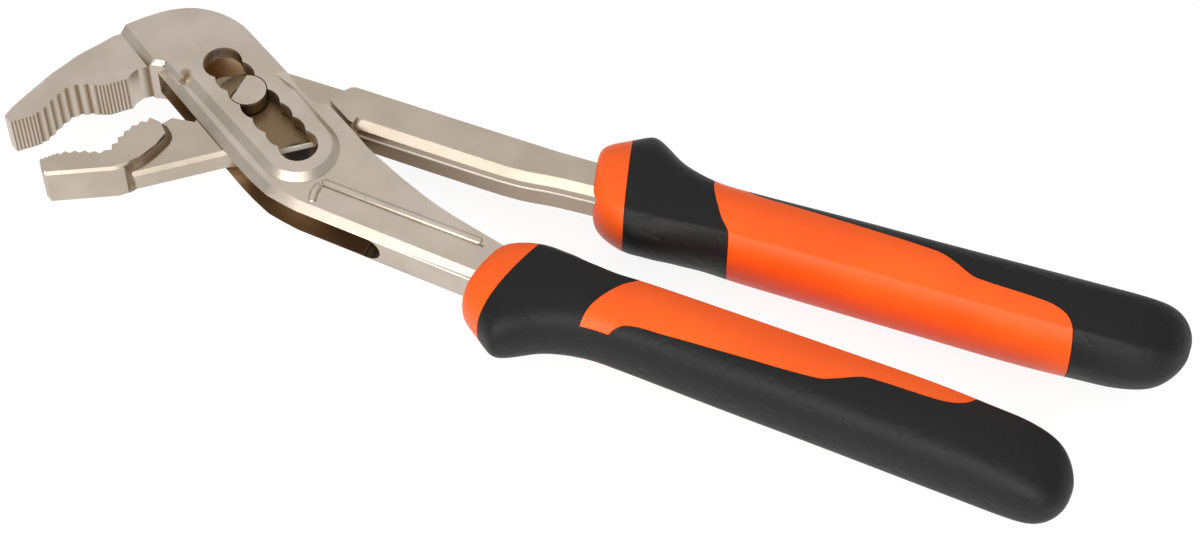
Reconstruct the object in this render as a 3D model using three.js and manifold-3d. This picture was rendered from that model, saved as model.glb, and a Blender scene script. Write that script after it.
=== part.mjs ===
// Box-joint water pump pliers, lying flat. Millimetres, +Z up through the tool's thickness,
// +X from the jaws to the handles, origin at the middle of the pivot pin's lower end, with the
// pin in its third seat. Outlines are drawn about the middle plane and raised at the end.
import * as THREE from "three";
import { mergeVertices } from "three/addons/utils/BufferGeometryUtils.js";
import Module from "manifold-3d";

const wasm = await Module();
wasm.setup();

// Lengths that the two levers' outlines follow
const jawReach = 45;
const boxReach = 40;
const shankReach = 74.8;
const gripStagger = 12.7;
const overrun = 2;

// Thicknesses, all centred on the tool's middle plane
const jawThickness = 10;
const shankThickness = 10;
const faceThickness = 13.2;
const tongueThickness = 5.8;
const tongueClearance = 0.3;
const edgeBevel = 1.7;
const shankBevel = 1.6;
const faceBevel = 1;
const jawBevel = 0.6;
const tongueBevel = 0.8;

// Adjusting slot: overlapping round seats in a row
const seatCount = 7;
const restSeat = 2;
const seatPitch = 4.75;
const seatRadius = 4.25;
const slotAngle = THREE.MathUtils.degToRad(-30.5);
const padWall = 2.95;
const padBevel = 1.5;
const padStartShare = -2.5;

// Pivot pin: round where the inner lever turns on it, D-shaped where it seats
const pinClearance = 0.25;
const pinFlatDistance = 2;
const pinFlatAngle = THREE.MathUtils.degToRad(178);
const bossWall = 3.5;
const bossTurns = [THREE.MathUtils.degToRad(102), THREE.MathUtils.degToRad(190)];

// Jaw teeth
const fineToothPitch = 0.86;
const fineToothDepth = 0.42;
const coarseToothPitch = 2.1;
const coarseToothDepth = 0.85;
const toothRootShare = 0.12;
const toothTipShare = 0.62;

// Recessed panel on the outer lever's shank
const panelDepth = 0.45;

// Grips
const gripLength = 129.5;
const gripWidth = 17.6;
const gripThickness = 20;
const gripAngle = THREE.MathUtils.degToRad(2.6);
const farGripOffset = 7.25;
const nearGripOffset = -23.25;
const gripSquareness = 2.5;
const frontSlantShare = 0.22;
const slantEndShare = 0.4;
const overmouldWall = 2;
const mouldGap = 0.3;
const bridgeHeight = 11;
const tangLength = 88;
const tangWidth = 7.6;
const tangEndWidth = 5.6;
const tangThickness = 8;
const tangClearance = 0.3;
const tangMiddleShare = -0.05;
const tangDriftShare = 0.04;
const shankEntry = 5;
const outerShankShares = [-0.36, 0.19];
const innerShankShares = [-0.26, 0.17];
const innerEntryShare = -0.28;

const pinRadius = seatRadius - pinClearance;
const windowHeight = tongueThickness + 2 * tongueClearance;
const slotDirection = new THREE.Vector2(Math.cos(slotAngle), Math.sin(slotAngle));
const slotNormal = new THREE.Vector2(-Math.sin(slotAngle), Math.cos(slotAngle));

// Closed three.js geometry to solid and back
function solidOf(geometry) {
  const bare = geometry.index ? geometry.toNonIndexed() : geometry.clone();
  bare.deleteAttribute("normal");
  bare.deleteAttribute("uv");
  const merged = mergeVertices(bare, 1e-4);
  return new wasm.Manifold(
    new wasm.Mesh({
      numProp: 3,
      vertProperties: merged.attributes.position.array,
      triVerts: new Uint32Array(merged.index.array),
    }),
  );
}

function geometryOf(solid) {
  const mesh = solid.getMesh();
  const indexed = new THREE.BufferGeometry();
  const corners = new Float32Array((mesh.vertProperties.length / mesh.numProp) * 3);
  for (let i = 0; i < corners.length / 3; i += 1) {
    for (let k = 0; k < 3; k += 1) {
      corners[3 * i + k] = mesh.vertProperties[mesh.numProp * i + k];
    }
  }
  indexed.setAttribute("position", new THREE.BufferAttribute(corners, 3));
  indexed.setIndex(new THREE.BufferAttribute(new Uint32Array(mesh.triVerts), 1));
  const flat = indexed.toNonIndexed();
  flat.computeVertexNormals();
  return flat;
}

// Plan points written as shares of one length
function places(length, shares) {
  return shares.map(([x, y]) => new THREE.Vector2(x * length, y * length));
}

// Plan points between two stations along X, as shares of the way, with sides in shares of a length
function span(start, end, length, shares) {
  return shares.map(([x, y]) => new THREE.Vector2(start + x * (end - start), y * length));
}

function smooth(points, steps) {
  return new THREE.SplineCurve(points).getPoints(steps);
}

// Point of the slot's own axes: along the row of seats and across it
function slotPoint(along, across) {
  return slotDirection.clone().multiplyScalar(along).addScaledVector(slotNormal, across);
}

function arc(centre, radius, from, to, steps) {
  return Array.from({ length: steps + 1 }, (_, i) => {
    const turn = from + ((to - from) * i) / steps;
    return new THREE.Vector2(
      centre.x + radius * Math.cos(turn),
      centre.y + radius * Math.sin(turn),
    );
  });
}

// Line carried on past both its ends, so that the bevels on either side of a corner meet
function carriedOn(line) {
  const past = (end, inner) => end.clone().add(end.clone().sub(inner).setLength(overrun));
  const last = line.length - 1;
  return [past(line[0], line[1]), ...line.slice(1, last), past(line[last], line[last - 1])];
}

// Closed body through a row of rings with as many points each
function loft(rings) {
  const around = rings[0].length;
  const last = rings[rings.length - 1];
  const corners = [];
  const face = (p, q, r) => corners.push(...p.toArray(), ...q.toArray(), ...r.toArray());
  for (let i = 0; i < rings.length - 1; i += 1) {
    for (let k = 0; k < around; k += 1) {
      const next = (k + 1) % around;
      face(rings[i][k], rings[i][next], rings[i + 1][next]);
      face(rings[i][k], rings[i + 1][next], rings[i + 1][k]);
    }
  }
  for (let k = 1; k < around - 1; k += 1) {
    face(rings[0][0], rings[0][k + 1], rings[0][k]);
    face(last[0], last[k], last[k + 1]);
  }
  const made = new THREE.BufferGeometry();
  made.setAttribute("position", new THREE.Float32BufferAttribute(corners, 3));
  return solidOf(made);
}

// Wedges that bevel the top and bottom edges along a line in plan, material on its left
function bevelCuts(line, thickness, bevel) {
  const sides = line.map((p, i) => {
    const before = line[Math.max(i - 1, 0)];
    const after = line[Math.min(i + 1, line.length - 1)];
    const along = after.clone().sub(before).normalize();
    return new THREE.Vector2(along.y, -along.x);
  });
  const ring = (i, side) => {
    const at = (out, z) => {
      const p = line[i].clone().addScaledVector(sides[i], out);
      return new THREE.Vector3(p.x, p.y, side * z);
    };
    const top = thickness / 2;
    const corners = [
      at(overrun, top - bevel - overrun),
      at(overrun, top + overrun),
      at(-bevel - overrun, top + overrun),
    ];
    return side > 0 ? corners : corners.reverse();
  };
  const upper = loft(line.map((_, i) => ring(i, 1)).reverse());
  const lower = loft(line.map((_, i) => ring(i, -1)).reverse());
  return upper.add(lower);
}

// Flat plate through the middle plane
function plate(points, thickness) {
  const made = new THREE.ExtrudeGeometry(new THREE.Shape(points), {
    depth: thickness,
    bevelEnabled: false,
  });
  made.translate(0, 0, -thickness / 2);
  return solidOf(made);
}

function disc(centre, radius, thickness, segments) {
  const made = new THREE.CylinderGeometry(radius, radius, thickness, segments);
  made.rotateX(Math.PI / 2);
  made.translate(centre.x, centre.y, 0);
  return solidOf(made);
}

// Scalloped outline of the slot: one arc per seat on each side, meeting at cusps
function slotOutline() {
  const cusp = Math.acos(seatPitch / 2 / seatRadius);
  const last = seatCount - 1;
  const points = [];
  const seat = (index, from, to, steps) => {
    const centre = slotPoint((index - restSeat) * seatPitch, 0);
    points.push(...arc(centre, seatRadius, slotAngle + from, slotAngle + to, steps).slice(0, -1));
  };
  seat(last, cusp - Math.PI, Math.PI - cusp, 15);
  for (let index = last - 1; index > 0; index -= 1) {
    seat(index, cusp, Math.PI - cusp, 5);
  }
  seat(0, cusp, 2 * Math.PI - cusp, 15);
  for (let index = 1; index < last; index += 1) {
    seat(index, cusp - Math.PI, -cusp, 5);
  }
  return points;
}

// Runs of teeth cut into a guide curve: tips on the guide, grooves below it
const fineTeeth = [fineToothPitch, fineToothDepth];
const coarseTeeth = [coarseToothPitch, coarseToothDepth];

function teeth(guide, runShares, kinds, side) {
  const total = guide.getLength();
  const points = [];
  kinds.forEach(([pitch, depth], run) => {
    const span = runShares[run + 1] - runShares[run];
    const count = Math.max(1, Math.round((span * total) / pitch));
    for (let i = 0; i < count; i += 1) {
      const root = runShares[run] + (span * (i + toothRootShare)) / count;
      const tip = runShares[run] + (span * (i + toothTipShare)) / count;
      const tangent = guide.getTangentAt(root);
      const into = new THREE.Vector2(-tangent.y, tangent.x).multiplyScalar(side * depth);
      points.push(guide.getPointAt(root).add(into));
      points.push(guide.getPointAt(tip));
    }
  });
  return points;
}

// Straight tapered tang inside a grip, in the grip's own axes
function tangOutline(clearance) {
  const middle = tangMiddleShare * gripWidth;
  const endMiddle = middle - tangDriftShare * gripWidth;
  const start = shankEntry - overrun / 2;
  const end = tangLength + clearance;
  const wide = tangWidth / 2 + clearance;
  const narrow = tangEndWidth / 2 + clearance;
  return [
    new THREE.Vector2(start, middle - wide),
    new THREE.Vector2(end, endMiddle - narrow),
    new THREE.Vector2(end, endMiddle + narrow),
    new THREE.Vector2(start, middle + wide),
  ];
}

// Grip body: stations along its length, the front ones slanted
const gripStationShares = [
  [0.001, -0.005, 0.37, 0.32],
  [0.006, 0.005, 0.46, 0.385],
  [0.018, 0, 0.545, 0.43],
  [0.04, 0, 0.635, 0.45],
  [0.063, 0.021, 0.72, 0.452],
  [0.083, 0.063, 0.773, 0.452],
  [0.096, 0.069, 0.773, 0.451],
  [0.12, 0.004, 0.699, 0.45],
  [0.14, -0.045, 0.611, 0.45],
  [0.165, -0.078, 0.563, 0.45],
  [0.209, -0.105, 0.496, 0.46],
  [0.255, -0.121, 0.49, 0.475],
  [0.46, -0.127, 0.508, 0.495],
  [0.58, -0.133, 0.516, 0.5],
  [0.75, -0.136, 0.536, 0.5],
  [0.85, -0.119, 0.53, 0.49],
  [0.911, -0.107, 0.534, 0.465],
  [0.945, -0.078, 0.513, 0.42],
  [0.967, -0.055, 0.456, 0.36],
  [0.985, -0.025, 0.338, 0.27],
  [0.997, -0.01, 0.19, 0.15],
  [1, -0.01, 0.08, 0.06],
];

// Inner half of a grip's section, from the middle of its top: crease, flat side, parting line
const innerSectionShares = [
  [0, 1],
  [-0.3, 0.965],
  [-0.5, 0.92],
  [-0.66, 0.865],
  [-0.82, 0.62],
  [-0.93, 0.33],
  [-1, 0],
];

function gripSection() {
  const steps = 6;
  const outer = Array.from({ length: steps }, (_, i) => {
    const turn = ((Math.PI / 2) * i) / steps;
    return [Math.cos(turn), Math.sin(turn)].map((side) => side ** (2 / gripSquareness));
  });
  const upper = [...outer, ...innerSectionShares];
  const lower = upper.slice(1, -1).reverse();
  return [...upper, ...lower.map(([across, through]) => [across, -through])];
}

function gripBody(inset) {
  const section = gripSection();
  const rings = gripStationShares.map(([along, middle, width, thickness]) => {
    const slant = frontSlantShare * Math.max(0, 1 - along / slantEndShare);
    const u = along * (gripLength - inset);
    const a = Math.max(width * gripWidth - inset, width * inset);
    const b = Math.max(thickness * gripThickness - inset, thickness * inset);
    return section.map(([across, through]) => {
      const v = middle * gripWidth + a * across;
      return new THREE.Vector3(u + slant * (gripWidth / 2 - v), v, b * through);
    });
  });
  return loft(rings);
}

// Colour zones of a grip in its own axes, grown by a gap: the front band, the outer pad with
// the end cap, and the bridge between them
const bandFrontShares = [[0.045, 0.9], [0.056, 0.51], [0.088, -0.51], [0.101, -0.9]];
const bandRearShares = [
  [0.202, 0.9],
  [0.204, 0.3],
  [0.213, 0.06],
  [0.239, -0.28],
  [0.259, -0.46],
  [0.269, -0.9],
];
const padEdgeShares = [
  [0.244, 0.9],
  [0.244, 0.5],
  [0.252, 0.32],
  [0.275, 0.2],
  [0.34, 0.16],
  [0.45, 0.11],
  [0.585, 0.035],
  [0.612, -0.04],
  [0.648, -0.18],
  [0.67, -0.205],
  [0.76, -0.24],
  [0.79, -0.28],
  [0.812, -0.38],
  [0.826, -0.6],
  [0.829, -0.9],
];
const bridgeShares = [[0.18, 0.2], [0.27, 0.2], [0.27, 1], [0.18, 1]];

function gripPlan(shares, alongGap, acrossGap) {
  return shares.map(
    ([u, v]) => new THREE.Vector2(u * gripLength + alongGap, v * gripWidth + acrossGap),
  );
}

function overmouldZone(gap) {
  const depth = gripThickness + 2 * overrun;
  const front = gripPlan(bandFrontShares, -gap, 0);
  const rear = gripPlan(bandRearShares, gap, 0).reverse();
  const band = plate([...front, ...rear], depth);
  const edge = gripPlan(padEdgeShares, -gap, -gap);
  const far = gripLength + overrun;
  const pad = plate(
    [...edge, new THREE.Vector2(far, -gripWidth), new THREE.Vector2(far, gripWidth)],
    depth,
  );
  const bridge = plate(gripPlan(bridgeShares, 0, 0), bridgeHeight + 2 * gap);
  return band.add(pad).add(bridge);
}

// Mouth of the collar, where the shank runs in
function mouth(sideShares) {
  const low = sideShares[0] * gripWidth - tangClearance;
  const high = sideShares[1] * gripWidth + tangClearance;
  const end = shankEntry + tangClearance;
  return plate(
    [
      new THREE.Vector2(-overrun, low),
      new THREE.Vector2(end, low),
      new THREE.Vector2(end, high),
      new THREE.Vector2(-overrun, high),
    ],
    shankThickness + 2 * tangClearance,
  );
}

function gripPieces(sideShares) {
  const whole = gripBody(0);
  const overmould = whole
    .intersect(overmouldZone(0))
    .subtract(gripBody(overmouldWall));
  const pocket = plate(tangOutline(tangClearance), tangThickness + 2 * tangClearance);
  const core = whole
    .subtract(overmouldZone(mouldGap).subtract(gripBody(overmouldWall + mouldGap)))
    .subtract(pocket)
    .subtract(mouth(sideShares));
  return { core: geometryOf(core), overmould: geometryOf(overmould) };
}

function gripMatrix(near) {
  const turn = new THREE.Euler(near ? Math.PI : 0, 0, gripAngle);
  const place = near
    ? new THREE.Vector3(shankReach - gripStagger, nearGripOffset, 0)
    : new THREE.Vector3(shankReach, farGripOffset, 0);
  return new THREE.Matrix4()
    .makeRotationFromEuler(turn)
    .setPosition(place);
}

// Point of a grip's own axes in the tool's plan
function gripPoint(near, u, v) {
  const p = new THREE.Vector3(u, v, 0).applyMatrix4(gripMatrix(near));
  return new THREE.Vector2(p.x, p.y);
}

function tang(near) {
  const points = tangOutline(0).map((p) => gripPoint(near, p.x, p.y));
  return plate(near ? points.reverse() : points, tangThickness);
}

// Outer lever: upper jaw, box with two cheeks, and the shank of the near grip
const jawBackShares = [
  [-0.62, 0.13],
  [-0.733, 0.115],
  [-0.798, 0.02],
  [-0.858, -0.075],
  [-0.893, -0.155],
];
const jawNoseShares = [
  [-0.913, -0.198],
  [-0.925, -0.225],
  [-0.97, -0.365],
  [-1.004, -0.48],
  [-1.012, -0.54],
  [-0.968, -0.568],
];
const upperTeethShares = [
  [-0.964, -0.564],
  [-0.867, -0.465],
  [-0.836, -0.353],
  [-0.802, -0.271],
  [-0.735, -0.232],
  [-0.658, -0.203],
  [-0.61, -0.16],
  [-0.569, -0.124],
];
const upperRunShares = [0, 0.2, 0.74, 1];
const jawRecessShares = [
  [-0.572, -0.09],
  [-0.556, -0.052],
  [-0.52, -0.022],
  [-0.48, -0.01],
  [-0.455, 0.02],
  [-0.4, 0.03],
  [-0.4, 0.13],
];

function upperJaw() {
  const back = smooth(places(jawReach, jawBackShares), 12);
  const nose = places(jawReach, jawNoseShares);
  const line = places(jawReach, upperTeethShares).map((p) => new THREE.Vector3(p.x, p.y, 0));
  const even = new THREE.CatmullRomCurve3(line).getPoints(28);
  const guide = new THREE.SplineCurve(even.map((p) => new THREE.Vector2(p.x, p.y)));
  const toothed = teeth(guide, upperRunShares, [fineTeeth, coarseTeeth, fineTeeth], 1);
  const recess = places(jawReach, jawRecessShares);
  return plate([...back, ...nose, ...toothed, ...recess], jawThickness);
}

const boxNearShares = [[-0.535, -0.0115], [0.09, -0.4]];
const boxBendShares = [
  [0.134, -0.428],
  [0.232, -0.484],
  [0.304, -0.519],
  [0.378, -0.551],
  [0.55, -0.585],
];
const shankNearShares = [[0.9, -0.61]];
const boxRearShares = [
  [0.9, -0.19],
  [0.82, -0.133],
  [0.74, -0.093],
  [0.625, -0.02],
  [0.425, 0.098],
  [0.408, 0.098],
  [0.378, 0.08],
  [0.33, 0.093],
  [0.25, 0.132],
];
const boxCornerShares = [[-0.808, 0.17]];
const crownShares = [
  [0.14, 0.192],
  [0, 0.275],
  [-0.128, 0.35],
  [-0.22, 0.399],
  [-0.32, 0.426],
  [-0.42, 0.43],
  [-0.53, 0.408],
  [-0.64, 0.345],
  [-0.74, 0.252],
];
const faceStepShares = [[-0.825, 0.1325], [-0.585, -0.0248]];
const faceNearShares = [[-0.54, -0.0113], [-0.4925, -0.005], [-0.4325, -0.039], [-0.378, -0.07]];

function nearEdge() {
  return [
    ...places(boxReach, boxNearShares),
    ...smooth(places(boxReach, boxBendShares), 7),
    ...places(boxReach, shankNearShares),
    gripPoint(true, shankEntry, outerShankShares[1] * gripWidth),
  ];
}

// Top of the box, from the handle side round to the jaw
function crown() {
  return smooth(places(boxReach, crownShares), 22);
}

function boxOutline() {
  const corner = places(boxReach, boxCornerShares);
  const rear = places(boxReach, boxRearShares);
  return [...corner, ...nearEdge().slice(0, -1), ...rear, ...crown()];
}

// Raised face beside the jaw, level with the pad round the slot: a full slope down to the jaw,
// a smaller bevel along its near side
function raisedFace() {
  const padSide = seatRadius + padWall;
  const corner = places(boxReach, boxCornerShares);
  const step = places(boxReach, faceStepShares);
  const near = places(boxReach, faceNearShares);
  const rest = [
    slotPoint(padStartShare * seatPitch, -padSide),
    slotPoint(0, -padSide),
    slotPoint(0, padSide),
    ...crown(),
  ];
  const slope = (faceThickness - jawThickness) / 2;
  return plate([...corner, ...step, ...near, ...rest], faceThickness)
    .subtract(bevelCuts(carriedOn(step), faceThickness, slope))
    .subtract(bevelCuts(carriedOn([step[1], ...near]), faceThickness, faceBevel));
}

// Pad round the slot, with sloped sides
function pad() {
  const first = slotPoint(-restSeat * seatPitch, 0);
  const last = slotPoint((seatCount - 1 - restSeat) * seatPitch, 0);
  const quarter = Math.PI / 2;
  const level = (radius, z) =>
    [
      ...arc(last, radius, slotAngle - quarter, slotAngle + quarter, 12),
      ...arc(first, radius, slotAngle + quarter, slotAngle + 3 * quarter, 12),
    ].map((p) => new THREE.Vector3(p.x, p.y, z));
  const top = faceThickness / 2;
  const narrow = seatRadius + padWall;
  const wide = narrow + padBevel;
  return loft([
    level(narrow, -top),
    level(wide, padBevel - top),
    level(wide, top - padBevel),
    level(narrow, top),
  ]);
}

// Window through the box that the inner lever's tongue passes, round at its handle end
const windowShares = [
  [-0.58, -0.09],
  [-0.536, -0.013],
  [-0.49, 0.03],
  [-0.452, 0.07],
  [-0.44, 0.13],
  [-0.43, 0.25],
  [-0.36, 0.46],
  [0.5, 0.46],
  [1.1, -0.06],
  [1.02, -0.235],
  [0.925, -0.31],
  [0.905, -0.4],
  [0.945, -0.52],
  [0.96, -0.8],
  [-0.2, -0.8],
];
const windowEndShares = [0.955, -0.665];
const windowEndDepthShare = 0.3;

function windowCut() {
  const [x, y] = windowEndShares.map((share) => share * boxReach);
  const depth = windowEndDepthShare * boxReach;
  const end = new THREE.CylinderGeometry(windowHeight / 2, windowHeight / 2, depth, 16);
  end.translate(x, y, 0);
  return plate(places(boxReach, windowShares), windowHeight).add(solidOf(end));
}

const outerShankTopShares = [[0.5388, -0.325], [0.2394, -0.228], [0, -0.133]];
const outerShankRootShares = [[0.82, -0.133], [0.74, -0.093], [0.6, -0.3]];

function outerShank() {
  const entry = gripPoint(true, shankEntry, outerShankShares[0] * gripWidth);
  const root = places(boxReach, outerShankRootShares);
  const way = span(root[0].x, entry.x, boxReach, outerShankTopShares);
  const top = smooth([entry, ...way], 10);
  return plate([...nearEdge().slice(-3), ...top, ...root.slice(1)], shankThickness);
}

// Recessed panel: its box end, and its grip end in the grip's own axes
const panelBoxShares = [[0.62, -0.52], [0.595, -0.48], [0.6, -0.42], [0.64, -0.395]];
const panelGripShares = [[-0.012, -0.3], [0, -0.27], [0, 0.02]];

function panelCut(side) {
  const ends = gripPlan(panelGripShares, 0, 0).map((p) => gripPoint(true, p.x, p.y));
  const corners = [...places(boxReach, panelBoxShares), ...ends];
  const made = new THREE.ExtrudeGeometry(new THREE.Shape(corners), {
    depth: panelDepth + overrun,
    bevelEnabled: false,
  });
  const floor = shankThickness / 2 - panelDepth;
  made.translate(0, 0, side > 0 ? floor : -floor - panelDepth - overrun);
  return solidOf(made);
}

function outerLever() {
  const slot = plate(slotOutline(), faceThickness + 2 * overrun);
  const body = plate(boxOutline(), shankThickness)
    .add(outerShank())
    .subtract(bevelCuts(carriedOn(nearEdge()), shankThickness, edgeBevel))
    .add(raisedFace())
    .add(pad())
    .add(upperJaw());
  return body
    .subtract(windowCut())
    .subtract(slot)
    .subtract(panelCut(1))
    .subtract(panelCut(-1))
    .add(tang(true));
}

// Inner lever: lower jaw, thin tongue with the pin's bore, and the shank of the far grip
const lowerTeethShares = [
  [-0.742, -0.713],
  [-0.662, -0.632],
  [-0.569, -0.587],
  [-0.48, -0.551],
  [-0.456, -0.456],
  [-0.429, -0.373],
  [-0.36, -0.282],
];
const lowerRunShares = [0, 0.16, 1];
const lowerJawShares = [
  [-0.313, -0.302],
  [-0.262, -0.35],
  [-0.275, -0.43],
  [-0.31, -0.52],
  [-0.34, -0.56],
  [-0.356, -0.598],
  [-0.392, -0.632],
  [-0.672, -0.777],
  [-0.703, -0.762],
];

function lowerJaw() {
  const guide = new THREE.SplineCurve(places(jawReach, lowerTeethShares));
  const toothed = teeth(guide, lowerRunShares, [fineTeeth, coarseTeeth], -1);
  const rest = places(jawReach, lowerJawShares);
  const back = carriedOn(rest.slice(-4).reverse());
  const blank = plate([...toothed, ...rest].reverse(), jawThickness);
  return blank.subtract(bevelCuts(back, jawThickness, jawBevel));
}

const tongueNearShares = [
  [-0.43, -0.665],
  [-0.346, -0.672],
  [0.035, -0.3675],
  [0.302, -0.25],
  [0.451, -0.137],
  [0.6, 0.03],
  [0.72, 0.03],
];
const tongueFarShares = [[0.72, 0.24], [0.45, 0.252], [0.118, 0.25]];
const tongueJawShares = [[-0.208, -0.14], [-0.205, -0.2375], [-0.33, -0.2575], [-0.42, -0.4]];

function tongue() {
  const boss = pinRadius + pinClearance + bossWall;
  const near = places(boxReach, tongueNearShares);
  const far = places(boxReach, tongueFarShares);
  const round = arc(new THREE.Vector2(), boss, bossTurns[0], bossTurns[1], 10);
  const root = places(boxReach, tongueJawShares);
  const blank = plate([...near, ...far, ...round, ...root], tongueThickness);
  return blank.subtract(bevelCuts(near.slice(0, -1), tongueThickness, tongueBevel));
}

const innerRootShares = [[0.6, 0.031], [0.7, 0.028]];
const innerNearShares = [[0.4213, 0.022], [0.777, 0.022]];
const shoulderShares = [
  [0.515, 0.258],
  [0.49, 0.247],
  [0.465, 0.215],
  [0.418, 0.135],
  [0.43, 0.122],
  [0.57, 0.038],
];
const innerFarShares = [[0.7736, 0.25]];

function innerNearEdge() {
  const collar = [
    gripPoint(false, -shankEntry, innerEntryShare * gripWidth),
    gripPoint(false, shankEntry, innerShankShares[0] * gripWidth),
  ];
  const root = places(boxReach, innerRootShares);
  const way = span(root[1].x, collar[0].x, boxReach, innerNearShares);
  return smooth([...root, ...way, ...collar], 16);
}

function innerShank() {
  const shoulder = places(boxReach, shoulderShares);
  const entry = gripPoint(false, shankEntry, innerShankShares[1] * gripWidth);
  const near = innerNearEdge();
  const far = span(near[0].x, entry.x, boxReach, innerFarShares);
  const blank = plate([...shoulder, ...near, entry, ...far], shankThickness);
  return blank.subtract(bevelCuts(near, shankThickness, shankBevel));
}

function innerLever() {
  const bore = disc(new THREE.Vector2(), pinRadius + pinClearance, jawThickness, 40);
  return tongue().add(lowerJaw()).add(innerShank()).subtract(bore).add(tang(false));
}

// Pivot pin: its D-shaped ends fill one seat of each cheek, flush with the pads
function pivotPin() {
  const round = disc(new THREE.Vector2(), pinRadius, tongueThickness, 40);
  const half = Math.acos(pinFlatDistance / pinRadius);
  const dShape = arc(
    new THREE.Vector2(),
    pinRadius,
    pinFlatAngle + half,
    pinFlatAngle - half + 2 * Math.PI,
    32,
  );
  return round.add(plate(dShape, faceThickness));
}

function steel(colour, roughness) {
  return new THREE.MeshStandardMaterial({ color: colour, roughness, metalness: 1 });
}

function moulded(colour, roughness) {
  return new THREE.MeshStandardMaterial({ color: colour, roughness, metalness: 0 });
}

function piece(name, geometry, material) {
  const mesh = new THREE.Mesh(geometry, material);
  mesh.name = name;
  return mesh;
}

function grip(near, prefix) {
  const { core, overmould } = gripPieces(near ? outerShankShares : innerShankShares);
  const group = new THREE.Group();
  group.add(piece(`${prefix}_grip_core`, core, moulded(0xfc6428, 0.45)));
  group.add(piece(`${prefix}_grip_overmould`, overmould, moulded(0x262425, 0.6)));
  group.applyMatrix4(gripMatrix(near));
  return group;
}

const tool = new THREE.Group();
tool.position.z = faceThickness / 2;
tool.add(piece("outer_lever", geometryOf(outerLever()), steel(0xb0a393, 0.36)));
tool.add(piece("inner_lever", geometryOf(innerLever()), steel(0xb0a393, 0.36)));
tool.add(piece("pivot_pin", geometryOf(pivotPin()), steel(0xb5a999, 0.34)));
tool.add(grip(true, "outer"));
tool.add(grip(false, "inner"));

const group = new THREE.Group();
group.add(tool);

export default group;
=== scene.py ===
import math

import bpy
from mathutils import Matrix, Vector


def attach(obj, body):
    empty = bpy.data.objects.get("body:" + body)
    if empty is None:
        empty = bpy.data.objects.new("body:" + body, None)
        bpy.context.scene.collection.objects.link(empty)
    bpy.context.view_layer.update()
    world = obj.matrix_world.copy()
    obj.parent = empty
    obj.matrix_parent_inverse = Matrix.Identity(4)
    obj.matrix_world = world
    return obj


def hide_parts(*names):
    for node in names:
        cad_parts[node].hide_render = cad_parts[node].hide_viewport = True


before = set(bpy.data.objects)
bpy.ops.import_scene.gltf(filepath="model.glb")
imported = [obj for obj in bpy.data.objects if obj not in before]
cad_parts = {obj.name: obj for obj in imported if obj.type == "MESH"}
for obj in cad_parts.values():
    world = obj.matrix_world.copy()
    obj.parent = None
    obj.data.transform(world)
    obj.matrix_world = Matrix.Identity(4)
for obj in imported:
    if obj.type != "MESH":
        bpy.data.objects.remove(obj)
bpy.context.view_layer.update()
scene = bpy.context.scene
mm = 0.001
midPlane = 6.6 * mm  # the tool's middle plane: the pin's lower end lies at zero
touching = 0.05 * mm  # places closer than this are the same
print("frame loaded:", len(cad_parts), "nodes")


# Small helpers for work in edit mode
def clearSelection():
    bpy.ops.object.select_all(action="DESELECT")


def activate(thing):
    clearSelection()
    thing.select_set(True)
    bpy.context.view_layer.objects.active = thing


def editMode(thing, kind="VERT"):
    activate(thing)
    bpy.ops.object.mode_set(mode="EDIT")
    bpy.ops.mesh.select_mode(type=kind)


def objectMode():
    bpy.ops.object.mode_set(mode="OBJECT")


def pick(thing, kind, test):
    # selects the vertices, edges or faces that pass a test, and goes back to edit mode
    bpy.ops.object.mode_set(mode="EDIT")
    bpy.ops.mesh.select_mode(type=kind)
    bpy.ops.mesh.select_all(action="DESELECT")
    bpy.ops.object.mode_set(mode="OBJECT")
    mesh = thing.data
    for item in {"VERT": mesh.vertices, "EDGE": mesh.edges, "FACE": mesh.polygons}[kind]:
        item.select = bool(test(item))
    bpy.ops.object.mode_set(mode="EDIT")


def applyModifier(thing, kind, settings):
    activate(thing)
    made = thing.modifiers.new(kind.title(), kind)
    for key, value in settings.items():
        setattr(made, key, value)
    bpy.ops.object.modifier_apply(modifier=made.name)


def cut(thing, tool, operation):
    applyModifier(thing, "BOOLEAN", {"operation": operation, "object": tool, "solver": "EXACT"})


def duplicate(thing, name):
    twin = thing.copy()
    twin.data = thing.data.copy()
    twin.name = twin.data.name = name
    scene.collection.objects.link(twin)
    return twin


def discard(*things):
    for thing in things:
        bpy.data.objects.remove(thing, do_unlink=True)


def settle(thing, angle):
    # place goes into the mesh, and faces narrower than the angle shade smoothly
    activate(thing)
    bpy.ops.object.transform_apply(location=True, rotation=True, scale=True)
    bpy.ops.object.shade_smooth_by_angle(angle=math.radians(angle))


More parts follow.
